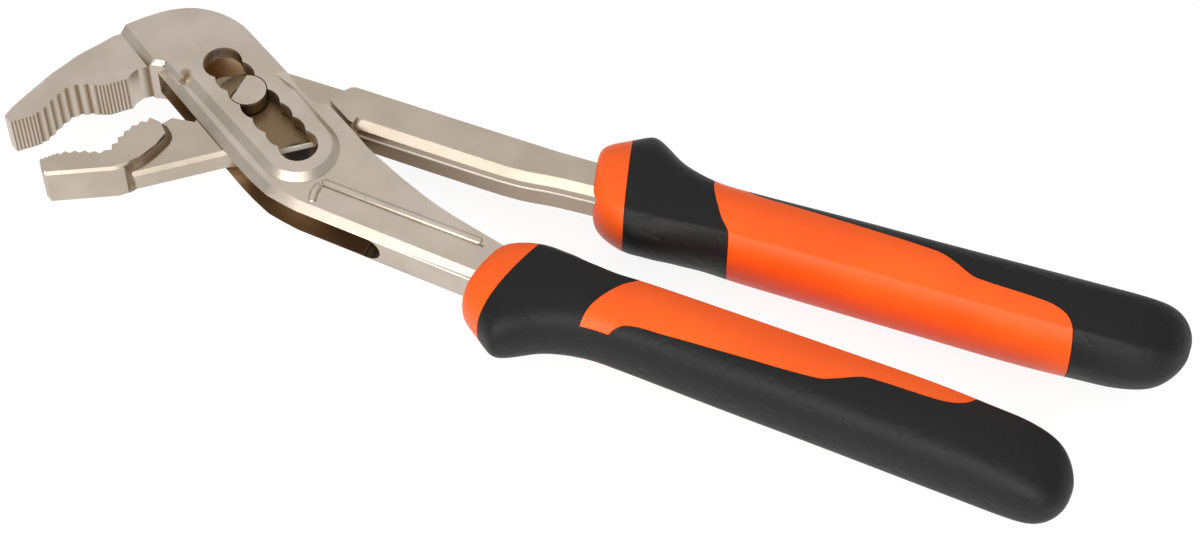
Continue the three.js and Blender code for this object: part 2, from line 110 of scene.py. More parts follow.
# One socket of a shader tree, for writing shader maths as Python expressions
class Wire:
    def __init__(self, tree, socket):
        self.tree = tree
        self.socket = socket

    def node(self, kind, settings, sockets, output=0):
        made = self.tree.nodes.new(kind)
        for key, value in settings.items():
            setattr(made, key, value)
        for key, value in sockets.items():
            if isinstance(value, Wire):
                self.tree.links.new(value.socket, made.inputs[key])
            else:
                made.inputs[key].default_value = value
        return Wire(self.tree, made.outputs[output])

    def maths(self, operation, *values):
        return self.node("ShaderNodeMath", {"operation": operation}, dict(enumerate(values)))

    def __add__(self, other):
        return self.maths("ADD", self, other)

    def __radd__(self, other):
        return self.maths("ADD", other, self)

    def __sub__(self, other):
        return self.maths("SUBTRACT", self, other)

    def __rsub__(self, other):
        return self.maths("SUBTRACT", other, self)

    def __mul__(self, other):
        return self.maths("MULTIPLY", self, other)

    def __rmul__(self, other):
        return self.maths("MULTIPLY", other, self)

    def __abs__(self):
        return self.maths("ABSOLUTE", self)

    def atLeast(self, other):
        return self.maths("MAXIMUM", self, other)

    def length(self, other):
        # from the corner of a right angle, along this value and then the other
        return self.maths("SQRT", self * self + other * other)

    def between(self, low, high):
        # 0 up to the low value, 1 from the high one, and smooth between
        return self.node(
            "ShaderNodeMapRange",
            {"interpolation_type": "SMOOTHSTEP"},
            {"Value": self, "From Min": low, "From Max": high},
        )

    def axes(self):
        return [self.node("ShaderNodeSeparateXYZ", {}, {0: self}, output=k) for k in range(3)]

    def noise(self, scale, detail):
        return self.node(
            "ShaderNodeTexNoise", {}, {"Vector": self, "Scale": scale, "Detail": detail}
        )

    def tint(self, colour, tone):
        # where this value is high, the tone takes the colour's place
        first, second = (v if isinstance(v, Wire) else linear(*v) for v in (colour, tone))
        sockets = {"Factor": self, 6: first, 7: second}
        return self.node("ShaderNodeMix", {"data_type": "RGBA"}, sockets, output=2)

    def bump(self, distance, strength=1.0, under=None):
        # this value as a height, over another bump where one is given
        sockets = {"Height": self, "Distance": distance, "Strength": strength}
        if under:
            sockets["Normal"] = under
        return self.node("ShaderNodeBump", {}, sockets)


def linear(red, green, blue):
    return tuple(
        v / 12.92 if v <= 0.04045 else ((v + 0.055) / 1.055) ** 2.4
        for v in (red / 255, green / 255, blue / 255)
    ) + (1.0,)


def newMaterial(name):
    made = bpy.data.materials.new(name)
    made.use_nodes = True
    tree = made.node_tree
    shader = tree.nodes["Principled BSDF"]
    place = Wire(tree, tree.nodes.new("ShaderNodeTexCoord").outputs["Object"])
    return made, tree, shader, place


def feed(tree, shader, socket, value):
    if isinstance(value, Wire):
        tree.links.new(value.socket, shader.inputs[socket])
    else:
        shader.inputs[socket].default_value = value


# Satin nickel over forged steel: faint cloudy tone, fine blasted grain, and a browner painted shade
# with a duller finish down in the slot and the box
satinNickel = {
    "tone": (204, 193, 180),
    "shade": (190, 178, 164),
    "roughness": 0.34,
    "roughnessSpread": 0.08,
    "cloudScale": 90.0,
    "cloudLevels": (0.3, 0.7),
    "grainScale": 2600.0,
    "grainDepth": 0.004 * mm,
    # browner painted shade along hollow edges
    "hollowShade": (128, 106, 80),
    "hollowShadeLevels": (0.1, 1.0),
    # browner painted shade down in the slot and the box, and its rougher finish
    "inside": (138, 117, 90),
    "insideRoughness": 0.42,
    "slotAngle": -30.5,
    "slotFrom": -9.5 * mm,
    "slotTo": 19.0 * mm,
    # centre, reach and tone of the painted shade at the slot's two ends, where it is darkest
    "deepShadeSpots": [
        ((-8.2 * mm, 4.8 * mm), (2.0 * mm, 5.5 * mm), (98, 84, 66)),
        ((16.6 * mm, -10.2 * mm), (3.4 * mm, 4.8 * mm), (44, 35, 28)),
    ],
}
# Each piece has the slot's painted shade, and a rougher finish, up to some way from the slot's line
# (fadeAway), and below some distance from the middle plane (fadeUp). This one also has painted shade
# on the window's walls through the box, darkest at its round end, and a rougher painted shade where
# the pad begins.
outerNickel = {
    **satinNickel,
    "fadeAway": (4.15 * mm, 4.45 * mm),
    "fadeUp": (5.2 * mm, 6.6 * mm),
    # painted shade on the window's walls, darkest at its round end
    "windowShade": (186, 160, 128),
    "windowFrom": (-20.0 * mm, -19.0 * mm),
    "windowCentre": 38.2 * mm,
    "windowRadius": (3.21 * mm, 3.27 * mm),
    "windowEndShade": (74, 60, 46),
    "windowEndFrom": (36.8 * mm, 37.8 * mm),
    "windowEndRougher": 0.45,
    # painted shade, on a rougher finish, where the pad begins
    "padShadeTone": (168, 151, 134),
    "padShadeSpot": (-14.3 * mm, -0.6 * mm),
    "padShadeReach": (0.5 * mm, 1.6 * mm),
    "padShadeRougher": 0.3,
}
# This one is painted a shade darker all over, as painted shade. Along the shank's side it has a
# ridge with a painted highlight, painted shade below it and near the box, and a painted highlight
# along the tongue's near edge.
innerNickel = {
    **satinNickel,
    # the whole lever painted a shade darker than the outer one: painted shade
    "tone": (195, 182, 167),
    "shade": (181, 168, 152),
    "fadeAway": (7.5 * mm, 10.5 * mm),
    "fadeUp": (3.4 * mm, 4.6 * mm),
    "shankFrom": (18 * mm, 22 * mm),
    "sideTop": (3.2 * mm, 3.4 * mm),
    "sideFades": (26 * mm, 74 * mm),
    # painted shade on the shank's side, darkest near the box
    "sideShadeNear": (112, 90, 68),
    "sideShadeFar": (172, 154, 138),
    # share of that painted shade above the ridge
    "sideAboveRidge": 0.35,
    "ridgeLow": (0.7 * mm, 1.1 * mm),
    "ridgeHigh": (1.35 * mm, 1.75 * mm),
    "ridgeHeight": 0.3 * mm,
    # painted highlight along the ridge, also used on the tongue's near edge
    "ridgeHighlight": (236, 226, 212),
    "ridgeHighlightShare": 0.8,
    # where the tongue's near edge gets a painted highlight
    "tongueHighlightSpot": (15 * mm, -7.5 * mm),
    "tongueHighlightReach": (4.5 * mm, 6.0 * mm),
    "tongueHighlightLow": (1.9 * mm, 2.1 * mm),
    "tongueHighlightHigh": (2.8 * mm, 2.88 * mm),
}
pinNickel = {
    **satinNickel,
    "fadeAway": (9.0 * mm, 10.0 * mm),
    "fadeUp": (5.4 * mm, 6.5 * mm),
}


# how far down in the slot and the box a point lies, for the painted shade there
def slotShadeMask(place, finish):
    x, y, z = place.axes()
    turn = math.radians(finish["slotAngle"])
    along = x * math.cos(turn) + y * math.sin(turn)
    across = y * math.cos(turn) - x * math.sin(turn)
    middle = (finish["slotFrom"] + finish["slotTo"]) / 2
    half = (finish["slotTo"] - finish["slotFrom"]) / 2
    away = (abs(along - middle) - half).atLeast(0.0).length(across)
    depth = abs(z - midPlane)
    return (1.0 - away.between(*finish["fadeAway"])) * (1.0 - depth.between(*finish["fadeUp"]))


def windowMask(place, finish, start):
    x, _, z = place.axes()
    radius = (x - finish["windowCentre"]).atLeast(0.0).length(z - midPlane)
    return x.between(*start) * (1.0 - radius.between(*finish["windowRadius"]))


def spotMask(place, centre, reach):
    x, y, _ = place.axes()
    return 1.0 - (x - centre[0]).length(y - centre[1]).between(*reach)


# painted shade on the window's walls, darkest at the round end, and where the pad begins
def paintWindowShade(place, finish, colour, rough):
    colour = windowMask(place, finish, finish["windowFrom"]).tint(colour, finish["windowShade"])
    end = windowMask(place, finish, finish["windowEndFrom"])
    # painted shade where the pad begins
    padShade = spotMask(place, finish["padShadeSpot"], finish["padShadeReach"])
    colour = padShade.tint(end.tint(colour, finish["windowEndShade"]), finish["padShadeTone"])
    return colour, rough + end * finish["windowEndRougher"] + padShade * finish["padShadeRougher"]


# painted shade on the shank's side, painted highlights on its ridge and on the tongue's near edge
def paintShankLight(place, finish, colour, bump):
    x, _, z = place.axes()
    height = z - midPlane
    side = x.between(*finish["shankFrom"]) * (1.0 - height.between(*finish["sideTop"]))
    overLow = height.between(*finish["ridgeLow"])
    ridge = (overLow - height.between(*finish["ridgeHigh"])) * side
    # painted shade, darker near the box and below the ridge
    tone = x.between(*finish["sideFades"]).tint(finish["sideShadeNear"], finish["sideShadeFar"])
    above = finish["sideAboveRidge"]
    sideShadeMask = side * (above + (1.0 - overLow) * (1 - above))
    colour = sideShadeMask.tint(colour, tone)
    # painted highlight on the ridge
    colour = (ridge * finish["ridgeHighlightShare"]).tint(colour, finish["ridgeHighlight"])
    # painted highlight along the tongue's near edge
    edge = height.between(*finish["tongueHighlightLow"]) * (1.0 - height.between(*finish["tongueHighlightHigh"]))
    edge = edge * spotMask(place, finish["tongueHighlightSpot"], finish["tongueHighlightReach"])
    return edge.tint(colour, finish["ridgeHighlight"]), ridge.bump(finish["ridgeHeight"], under=bump)


def makeNickel(name, finish):
    made, tree, shader, place = newMaterial(name)
    cloud = place.noise(finish["cloudScale"], 4.0).between(*finish["cloudLevels"])
    hollowShade = place.node("ShaderNodeAttribute", {"attribute_name": "hollowShade"}, {}, output=2)
    # painted shade down in the slot and the box
    inside = slotShadeMask(place, finish)
    colour = cloud.tint(finish["shade"], finish["tone"])
    # browner painted shade along hollow edges
    colour = hollowShade.between(*finish["hollowShadeLevels"]).tint(colour, finish["hollowShade"])
    colour = inside.tint(colour, finish["inside"])
    rough = finish["roughness"] + (cloud - 0.5) * finish["roughnessSpread"]
    rough = rough + inside * (finish["insideRoughness"] - finish["roughness"])
    bump = place.noise(finish["grainScale"], 2.0).bump(finish["grainDepth"])
    if "windowShade" in finish:
        colour, rough = paintWindowShade(place, finish, colour, rough)
    # painted shade at the slot's two ends
    for centre, reach, tone in finish["deepShadeSpots"]:
        colour = (inside * spotMask(place, centre, reach)).tint(colour, tone)
    if "ridgeHighlight" in finish:
        colour, bump = paintShankLight(place, finish, colour, bump)
    feed(tree, shader, "Base Color", colour)
    feed(tree, shader, "Roughness", rough)
    feed(tree, shader, "Metallic", 1.0)
    feed(tree, shader, "Normal", bump)
    return made


# Moulded grip plastics
orangeShell = {
    "tone": (253, 96, 12),
    "shade": (248, 88, 8),
    "roughness": 0.45,
    "roughnessSpread": 0.06,
    "specular": 0.32,
    "cloudScale": 60.0,
    "cloudLevels": (0.3, 0.7),
    "grainScale": 1800.0,
    "grainDepth": 0.006 * mm,
}
blackSoft = {
    "tone": (18, 16, 18),
    "shade": (13, 12, 13),
    "roughness": 0.52,
    "roughnessSpread": 0.06,
    "specular": 0.28,
    "cloudScale": 60.0,
    "cloudLevels": (0.3, 0.7),
    "grainScale": 1400.0,
    "grainDepth": 0.01 * mm,
    "dimpleScale": 420.0,
    "dimpleLevels": (0.25, 0.5),
    "dimpleDepth": 0.12 * mm,
    "dimpleStrength": 0.6,
}


def makePlastic(name, finish):
    made, tree, shader, place = newMaterial(name)
    cloud = place.noise(finish["cloudScale"], 4.0).between(*finish["cloudLevels"])
    bump = place.noise(finish["grainScale"], 2.0).bump(finish["grainDepth"])
    if "dimpleScale" in finish:
        pits = place.noise(finish["dimpleScale"], 1.5).between(*finish["dimpleLevels"])
        bump = pits.bump(finish["dimpleDepth"], finish["dimpleStrength"], bump)
    feed(tree, shader, "Base Color", cloud.tint(finish["shade"], finish["tone"]))
    feed(tree, shader, "Roughness", finish["roughness"] + (cloud - 0.5) * finish["roughnessSpread"])
    feed(tree, shader, "Specular IOR Level", finish["specular"])
    feed(tree, shader, "Normal", bump)
    return made


orange = makePlastic("orangeShell", orangeShell)
black = makePlastic("blackSoft", blackSoft)
print("plastics made")


# Steel pieces: the solid's faces cleaned, then its edges rounded as forging and tumbling do
steelFinish = {
    "merge": 0.01 * mm,
    "flat": 1.0,
    "rounding": 0.35 * mm,
    "segments": 3,
    "sharp": 24,
    "shortest": 1.3 * mm,  # shorter edges, such as the teeth's, stay crisp
    "tipClear": 1.1 * mm,
    "smooth": 34,
    "smallSmooth": 40,
    "weight": 60,
    "jawHalf": 5 * mm,
    # hollow edges found here get a browner painted shade
    "hollowTurn": 20,
    "hollowDepth": 0.02 * mm,
    "hollowShare": 0.3,  # of the way round a face, for an edge that gives it the browner tone
    "wallTilt": 0.95,
    # no painted shade in the hollows round this spot
    "unshadedSpot": (7.5 * mm, 5.2 * mm),
    "unshadedReach": 4.5 * mm,
}
# Details finer than the solids carry, in mm from the pin's axis. Each lever has the line of its
# tooth tips, and how much of each groove's depth is filled.
outerDetails = {
    "tips": [
        (-43.38, -25.38),
        (-39.02, -20.93),
        (-37.62, -15.89),
        (-36.09, -12.2),
        (-33.08, -10.44),
        (-29.61, -9.14),
        (-27.45, -7.2),
        (-25.6, -5.58),
    ],
    "filled": 0.42,
    "keptTeeth": [],
    "windowHalf": 3.3,  # the window's edges stay crisp
    # lips round the recessed panel, and the sloped end of the raised face
    "lips": [[(25.1, -15.4), (60.9, -17.5)], [(24.35, -20.4), (23.9, -18.6), (24.0, -16.9)]],
    "lipHalf": 0.85,
    "lipLevels": (4.6, 5.4),
    "lipRound": 0.6,
    "lipSegments": 4,
    "runOut": [(3.65, 6.2), (5.6, 7.68), (9.2, 5.72), (7.1, 4.17)],
    "runOutLevels": (6.6, 4.85),
}
innerDetails = {
    "tips": [
        (-33.39, -32.09),
        (-29.79, -28.44),
        (-25.6, -26.42),
        (-21.6, -24.8),
        (-20.52, -20.52),
        (-19.31, -16.79),
        (-16.2, -12.69),
    ],
    "filled": 0.3,
    "keptTeeth": [(-21.2, -22.8), (-16.2, -12.7)],  # corners whose teeth stay as they are
    # edges across the shank, so that its hidden end doesn't bend the shading in view
    "shankCuts": [74.5, 78.4],
    # slope from the lower jaw down to the tongue
    "stepLine": [
        (-14.1, -13.6),
        (-11.8, -15.75),
        (-12.4, -19.35),
        (-13.95, -23.4),
        (-15.3, -25.2),
        (-16, -26.9),
    ],
    "rampLevels": (4.5, 2.88),
    "rampReach": 1.25,
    "rampSpacing": 1.2,
    # share of browner painted shade on the slope
    "rampShade": 0.75,
}
toothReach = {
    "least": 0.15 * mm,
    "most": 1.0 * mm,
    "keptWithin": 2.3 * mm,
    "spacing": 0.3 * mm,
    "sameRoot": 0.02,  # in mm
}


def inMetres(points):
    return [(x * mm, y * mm) for x, y in points]


def cleanedCopy(node, name):
    twin = duplicate(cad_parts[node], name)
    twin.parent = None
    twin.matrix_world.identity()
    clean(twin)
    return twin


def clean(thing):
    # one face for each flat, so that it shades evenly
    editMode(thing)
    bpy.ops.mesh.select_all(action="SELECT")
    bpy.ops.mesh.remove_doubles(threshold=steelFinish["merge"])
    bpy.ops.mesh.dissolve_limited(angle_limit=math.radians(steelFinish["flat"]))
    objectMode()


def cutAcross(thing, along):
    editMode(thing)
    bpy.ops.mesh.select_all(action="SELECT")
    bpy.ops.mesh.bisect(plane_co=(along * mm, 0, 0), plane_no=(1, 0, 0))
    objectMode()


def facesBeside(thing):
    beside = {}
    for face in thing.data.polygons:
        for key in face.edge_keys:
            beside.setdefault(key, []).append(face)
    return beside


def roundEdges(thing, finish, details):
    # long sharp edges get a narrow round, but not the teeth or the window
    normals = {
        key: [face.normal.copy() for face in faces] for key, faces in facesBeside(thing).items()
    }
    limit = math.cos(math.radians(finish["sharp"]))
    spots = thing.data.vertices
    tips = inMetres(details.get("tips", []))
    crispWithin = details.get("windowHalf", 0) * mm

    def rounded(edge):
        first, second = (spots[k].co for k in edge.vertices)
        pair = normals[tuple(sorted(edge.vertices))]
        if len(pair) != 2 or pair[0].dot(pair[1]) > limit:
            return False
        if max(abs(first.z - midPlane), abs(second.z - midPlane)) < crispWithin:
            return False
        if tips and lineDistance((first.xy + second.xy) / 2, tips)[0] < finish["tipClear"]:
            return False
        return (first - second).length > finish["shortest"]

    editMode(thing, "EDGE")
    pick(thing, "EDGE", rounded)
    bpy.ops.mesh.bevel(offset=finish["rounding"], segments=finish["segments"], clamp_overlap=True)
    objectMode()


def flattenShading(thing):
    applyModifier(thing, "WEIGHTED_NORMAL", {"keep_sharp": True, "weight": steelFinish["weight"]})


def drawPrism(points, low, high, name):
    # closed outline drawn point by point, then pulled up into a block
    clearSelection()
    bpy.ops.mesh.primitive_plane_add(size=mm)
    prism = bpy.context.active_object
    prism.name = prism.data.name = name
    editMode(prism)
    bpy.ops.mesh.select_all(action="SELECT")
    bpy.ops.mesh.merge(type="CENTER")
    bpy.ops.transform.translate(value=(points[0][0], points[0][1], low))
    for here, there in zip(points, points[1:]):
        step = (there[0] - here[0], there[1] - here[1], 0)
        bpy.ops.mesh.extrude_vertices_move(TRANSFORM_OT_translate={"value": step})
    bpy.ops.mesh.select_all(action="SELECT")
    bpy.ops.mesh.edge_face_add()
    bpy.ops.mesh.extrude_region_move(TRANSFORM_OT_translate={"value": (0, 0, high - low)})
    bpy.ops.mesh.select_all(action="SELECT")
    bpy.ops.mesh.normals_make_consistent(inside=False)
    objectMode()
    return prism


def drawWedge(points, highCount, levels, name):
    # block on both sides of the middle plane, high at the first points and low at the others
    high, low = (level * mm for level in levels)
    wedge = drawPrism(points, -high, high, name)
    lowPoints = points[highCount:]
    pick(wedge, "VERT", lambda v: min(math.dist(v.co[:2], p) for p in lowPoints) < touching)
    bpy.ops.transform.resize(value=(1, 1, low / high), center_override=(0, 0, 0))
    objectMode()
    wedge.location.z = midPlane
    return wedge


def turnsAlong(line):
    # the line's direction at each of its points
    turns = []
    last = len(line) - 1
    for k in range(len(line)):
        before, after = line[max(k - 1, 0)], line[min(k + 1, last)]
        turns.append(math.atan2(after[1] - before[1], after[0] - before[0]))
    return turns


def besideLine(line, reach):
    # the line moved to its left
    return [
        (x - reach * math.sin(turn), y + reach * math.cos(turn))
        for (x, y), turn in zip(line, turnsAlong(line))
    ]


def strip(line, half):
    # outline of a band of even width with round ends, along a drawn line
    ends = []
    for (x, y), (px, py) in [(line[-1], line[-2]), (line[0], line[1])]:
        turn = math.atan2(y - py, x - px)
        ends.append(
            [
                (x + half * math.cos(turn + a), y + half * math.sin(turn + a))
                for a in (math.pi / 4, 0, -math.pi / 4)
            ]
        )
    return besideLine(line, half) + ends[0] + besideLine(line, -half)[::-1] + ends[1]


def blend(rows, spacing):
    # rows of numbers carried smoothly through all of the given ones, evenly spaced along the first
    fine = []
    for i in range(len(rows) - 1):
        before, start = rows[max(i - 1, 0)], rows[i]
        end, after = rows[i + 1], rows[min(i + 2, len(rows) - 1)]
        steps = max(1, round((end[0] - start[0]) / spacing))
        for k in range(steps):
            t = k / steps
            row = [start[0] + t * (end[0] - start[0])]
            for a, p, q, b in list(zip(before, start, end, after))[1:]:
                left = (q - a) / (end[0] - before[0]) * (end[0] - start[0])
                right = (b - p) / (after[0] - start[0]) * (end[0] - start[0])
                row.append(
                    p * (2 * t**3 - 3 * t**2 + 1)
                    + left * (t**3 - 2 * t**2 + t)
                    + q * (3 * t**2 - 2 * t**3)
                    + right * (t**3 - t**2)
                )
            fine.append(row)
    fine.append(list(rows[-1]))
    return fine


def curved(points, spacing):
    # the drawn line with its corners eased, by its own length
    rows = [[0.0, *points[0]]]
    for here, there in zip(points, points[1:]):
        rows.append([rows[-1][0] + math.dist(here, there), *there])
    return [(x, y) for _, x, y in blend(rows, spacing)]


def lineDistance(point, line):
    # how far the point is from the line, and the line's nearest place
    best = (1.0, None)
    for a, b in zip(line, line[1:]):
        ab = Vector(b) - Vector(a)
        t = min(1, max(0, (point - Vector(a)).dot(ab) / ab.length_squared))
        near = Vector(a) + t * ab
        if (point - near).length < best[0]:
            best = ((point - near).length, near)
    return best


def fillTeeth(thing, details):
    # the tooth roots move out towards the line of the tips
    tips = curved(inMetres(details["tips"]), toothReach["spacing"])
    kept = inMetres(details["keptTeeth"])
    roots = {}
    for v in thing.data.vertices:
        if any(math.dist(v.co.xy, corner) < toothReach["keptWithin"] for corner in kept):
            continue
        away, tip = lineDistance(v.co.xy, tips)
        onJawFace = abs(abs(v.co.z - midPlane) - steelFinish["jawHalf"]) < touching
        if toothReach["least"] < away < toothReach["most"] and onJawFace:
            root = (round(v.co.x / mm, 2), round(v.co.y / mm, 2))
            roots.setdefault(root, (tip - v.co.xy) * details["filled"])
    editMode(thing)
    near = toothReach["sameRoot"]
    for (x, y), step in roots.items():
        pick(thing, "VERT", lambda v: max(abs(v.co.x / mm - x), abs(v.co.y / mm - y)) < near)
        bpy.ops.transform.translate(value=(step.x, step.y, 0))
    objectMode()
    print(thing.name, "tooth roots", len(roots))


def paintHollowShade(thing, finish):
    # face corners beside a hollow edge, for a browner painted shade there; large flats stay unshaded
    spots = thing.data.vertices
    limit = math.cos(math.radians(finish["hollowTurn"]))
    hollowShade = set()
    for key, pair in facesBeside(thing).items():
        if len(pair) != 2 or pair[0].normal.dot(pair[1].normal) >= limit:
            continue
        start, end = (spots[k].co for k in key)
        if (pair[1].center - start).dot(pair[0].normal) <= finish["hollowDepth"]:
            continue
        if math.dist(start.xy, finish["unshadedSpot"]) < finish["unshadedReach"]:
            continue
        for face in pair:
            corners = [spots[k].co for k in face.vertices]
            around = sum((p - q).length for p, q in zip(corners, corners[1:] + corners[:1]))
            if (start - end).length > finish["hollowShare"] * around:
                hollowShade.update((face.index, k) for k in key)
    marks = addHollowShade(thing, 0)
    for face in thing.data.polygons:
        for loop, vertex in zip(face.loop_indices, face.vertices):
            if (face.index, vertex) in hollowShade and abs(face.normal.z) < finish["wallTilt"]:
                marks[loop].color = (1, 1, 1, 1)


def addHollowShade(thing, value):
    activate(thing)
    bpy.ops.geometry.color_attribute_add(
        name="hollowShade", domain="CORNER", data_type="FLOAT_COLOR", color=(value, value, value, 1)
    )
    return thing.data.color_attributes["hollowShade"].data


def join(thing, extra, hollowShade):
    # a small part goes into its lever, with as much browner painted shade as the value says
    settle(extra, steelFinish["smallSmooth"])
    addHollowShade(extra, hollowShade)
    thing.select_set(True)
    bpy.context.view_layer.objects.active = thing
    bpy.ops.object.join()


def addLips(thing, details):
    for path in details["lips"]:
        line = strip(inMetres(path), details["lipHalf"] * mm)
        for side in (1, -1):
            low, high = (side * level * mm for level in details["lipLevels"])
            lip = drawPrism(line, low, high, "lip")
            top = [abs(v.co.z - high) < touching for v in lip.data.vertices]
            pick(lip, "EDGE", lambda e: top[e.vertices[0]] and top[e.vertices[1]])
            bpy.ops.mesh.bevel(
                offset=details["lipRound"] * mm,
                segments=details["lipSegments"],
                clamp_overlap=True,
            )
            objectMode()
            lip.location.z = midPlane
            join(thing, lip, 0)


def addRunOut(thing, details):
    # the raised face's end slopes down to the shank along the tool's back
    wedge = drawWedge(inMetres(details["runOut"]), 2, details["runOutLevels"], "runOut")
    cut(thing, wedge, "UNION")
    discard(wedge)
    clean(thing)


def addRamp(thing, details):
    # slanted face from the lower jaw down to the tongue, on both sides
    line = curved(inMetres(details["stepLine"]), details["rampSpacing"] * mm)
    outer = besideLine(line, details["rampReach"] * mm)
    for k in range(len(line) - 1):
        corners = [line[k], line[k + 1], outer[k + 1], outer[k]]
        join(thing, drawWedge(corners, 2, details["rampLevels"], "ramp"), details["rampShade"])


def dress(thing, material, body, node):
    thing.data.materials.clear()
    thing.data.materials.append(material)
    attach(thing, body)
    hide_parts(node)


steelPieces = [
    ("outer_lever", "outerLever", "lever_steel", outerNickel, outerDetails),
    ("inner_lever", "innerLever", "lever_steel", innerNickel, innerDetails),
    ("pivot_pin", "pivotPin", "pin_steel", pinNickel, {}),
]
for node, name, slot, nickel, details in steelPieces:
    made = cleanedCopy(node, name)
    if "tips" in details:
        fillTeeth(made, details)
    if "runOut" in details:
        addRunOut(made, details)
    for along in details.get("shankCuts", []):
        cutAcross(made, along)
    roundEdges(made, steelFinish, details)
    settle(made, steelFinish["smooth"])
    flattenShading(made)
    paintHollowShade(made, steelFinish)
    if "lips" in details:
        addLips(made, details)
    if "stepLine" in details:
        addRamp(made, details)
    dress(made, makeNickel("satinNickel" + name[0].upper() + name[1:], nickel), node, node)
    print(name, "faces", len(made.data.polygons))

# Grip: each station gives its place along, its middle across, half its width and half its
# thickness, as shares of the three sizes
gripShape = {
    "length": 129.5 * mm,
    "width": 17.6 * mm,
    "thickness": 20.0 * mm,
    "slant": 0.22,  # the collar's front leans back on its inner side, down to none at slantEnd
    "slantEnd": 0.4,
    "swell": 1.006,  # makes up for what smoothing takes off
    "outerSquareness": 2.5,
    "outerSteps": 6,
    "innerSide": [(-0.3, 0.965), (-0.5, 0.92), (-0.66, 0.865), (-0.82, 0.62), (-0.93, 0.33), (-1, 0)],
    "creaseAt": (-0.66, 0.865),
    "creaseSharpness": 0.75,
    "partingAt": (-0.93, 0.33),
    "partingSharpness": 0.9,
    "onLine": 0.03,
    "stations": [
        (0.001, -0.005, 0.37, 0.32),
        (0.006, 0.005, 0.46, 0.385),
        (0.018, 0, 0.545, 0.43),
        (0.04, 0, 0.635, 0.45),
        (0.063, 0.021, 0.72, 0.452),
        (0.083, 0.063, 0.773, 0.452),
        (0.096, 0.069, 0.773, 0.451),
        (0.12, 0.004, 0.699, 0.45),
        (0.14, -0.045, 0.611, 0.45),
        (0.165, -0.078, 0.563, 0.45),
        (0.209, -0.105, 0.496, 0.46),
        (0.255, -0.121, 0.49, 0.475),
        (0.46, -0.127, 0.508, 0.495),
        (0.58, -0.133, 0.516, 0.5),
        (0.75, -0.136, 0.536, 0.5),
        (0.85, -0.119, 0.53, 0.49),
        (0.911, -0.107, 0.534, 0.465),
        (0.945, -0.078, 0.513, 0.42),
        (0.967, -0.055, 0.456, 0.36),
        (0.985, -0.025, 0.338, 0.27),
        (0.997, -0.01, 0.19, 0.15),
        (1, -0.01, 0.08, 0.06),
    ],
    "ringSpacing": 3.2 * mm,
    "creaseReach": (5 * mm, 118 * mm),
    "endSteps": {"front": [0.9 * mm, 1.4 * mm], "rear": [0.3 * mm]},
    "wall": 2.0 * mm,
    "seam": 0.12 * mm,
    "bandFront": [(0.045, 0.9), (0.056, 0.51), (0.088, -0.51), (0.101, -0.9)],
    "bandSpacing": 1.5 * mm,
    "bandRear": [
        (0.202, 0.9),
        (0.204, 0.3),
        (0.213, 0.06),
        (0.239, -0.28),
        (0.259, -0.46),
        (0.269, -0.9),
    ],
    "padEdge": [
        (0.244, 0.9),
        (0.244, 0.5),
        (0.252, 0.32),
        (0.275, 0.2),
        (0.34, 0.16),
        (0.45, 0.11),
        (0.585, 0.035),
        (0.612, -0.04),
        (0.648, -0.18),
        (0.67, -0.205),
        (0.76, -0.24),
        (0.79, -0.28),
        (0.812, -0.38),
        (0.826, -0.6),
        (0.829, -0.9),
    ],
    "bridge": [(0.18, 0.2), (0.27, 0.2), (0.27, 1), (0.18, 1)],
    "bridgeHeight": 11 * mm,
    "edgeSpacing": 1 * mm,
    "overrun": 2 * mm,
    "tang": [(4, -4.98), (88.3, -4.68), (88.3, 1.52), (4, 3.22)],  # in mm
    "tangHalf": 4.3 * mm,
    "mouth": [(-2, -6.64), (5.3, -6.64), (5.3, 3.64), (-2, 3.64)],
    "mouthHalf": 5.3 * mm,
    "smooth": 35,
    "turn": 2.6,
    "farPlace": (74.8 * mm, 7.25 * mm),
    "nearPlace": (62.1 * mm, -23.25 * mm),
}


def gripSection(shape):
    power = 2 / shape["outerSquareness"]
    steps = shape["outerSteps"]
    turns = [math.pi / 2 * k / steps for k in range(steps)]
    outer = [(math.cos(turn) ** power, math.sin(turn) ** power) for turn in turns]
    upper = outer + [(0, 1)] + shape["innerSide"]
    return upper + [(across, -through) for across, through in reversed(upper[1:-1])]


